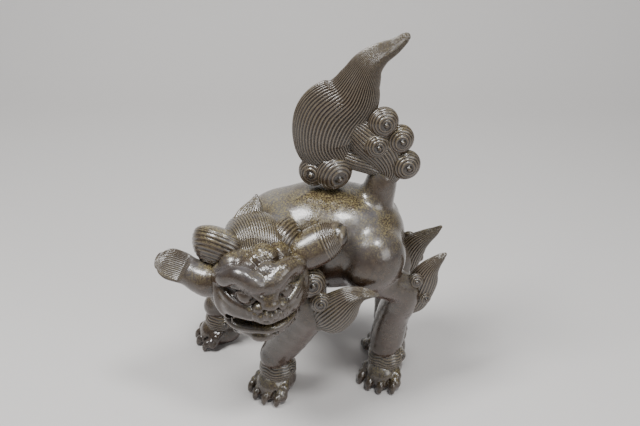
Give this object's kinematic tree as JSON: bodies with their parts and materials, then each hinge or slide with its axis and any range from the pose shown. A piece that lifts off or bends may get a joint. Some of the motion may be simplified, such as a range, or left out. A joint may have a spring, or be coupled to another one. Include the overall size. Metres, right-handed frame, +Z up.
{
  "type": "guardian lion statue",
  "caption": "Crouching guardian lion in dark unglazed stoneware, head turned back over its left shoulder, upright combed flame tail with spiral curls, free-standing on its paws.",
  "frame": {"origin": "on the ground under the centre of the figure's outer box", "axes": "+Z up, the lion heads along -Y, +X is the lion's left, where its face is turned"},
  "size_m": [0.1982, 0.2849, 0.3852],
  "materials": {
    "stoneware": "semi-gloss unglazed stoneware with an ash bloom on upper faces",
    "stoneware_dark": "darker red-brown stoneware, less ash"
  },
  "bodies": {
    "root": {"torso_shell": "stoneware", "neck_tube": "stoneware", "head_shell": "stoneware", "brow": "stoneware", "muzzle": "stoneware", "lower_jaw": "stoneware_dark", "nose": "stoneware", "left_eyeball": "stoneware_dark", "right_eyeball": "stoneware_dark", "left_eyebrow": "stoneware", "right_eyebrow": "stoneware", "left_ear": "stoneware", "right_ear": "stoneware", "upper_teeth": "stoneware", "lower_teeth": "stoneware", "tongue": "stoneware_dark", "mane_crest": "stoneware", "mane_cap": "stoneware", "right_mane_lock": "stoneware", "left_mane_lock": "stoneware", "neck_curl": "stoneware", "beard_curls": "stoneware", "left_fore_shoulder": "stoneware", "right_fore_shoulder": "stoneware", "left_fore_forearm": "stoneware", "right_fore_forearm": "stoneware", "left_fore_paw": "stoneware", "right_fore_paw": "stoneware", "left_hind_paw": "stoneware", "right_hind_paw": "stoneware", "left_fore_claws": "stoneware_dark", "right_fore_claws": "stoneware_dark", "left_hind_claws": "stoneware_dark", "right_hind_claws": "stoneware_dark", "left_fore_cuff": "stoneware", "right_fore_cuff": "stoneware", "left_hind_cuff": "stoneware", "right_hind_cuff": "stoneware", "left_hind_thigh": "stoneware", "right_hind_thigh": "stoneware", "left_hind_shank": "stoneware", "right_hind_shank": "stoneware", "left_hind_cannon": "stoneware", "right_hind_cannon": "stoneware", "left_elbow_flame": "stoneware", "right_elbow_flame": "stoneware", "left_hock_flame": "stoneware", "right_hock_flame": "stoneware", "left_hock_curls": "stoneware", "right_hock_curls": "stoneware", "left_elbow_curl": "stoneware", "right_elbow_curl": "stoneware", "tail_stem": "stoneware", "tail_fan": "stoneware", "tail_flame": "stoneware", "tail_front_curl": "stoneware", "tail_side_curl": "stoneware", "tail_curls_left": "stoneware", "tail_curls_right": "stoneware"}
  },
  "joints": []
}
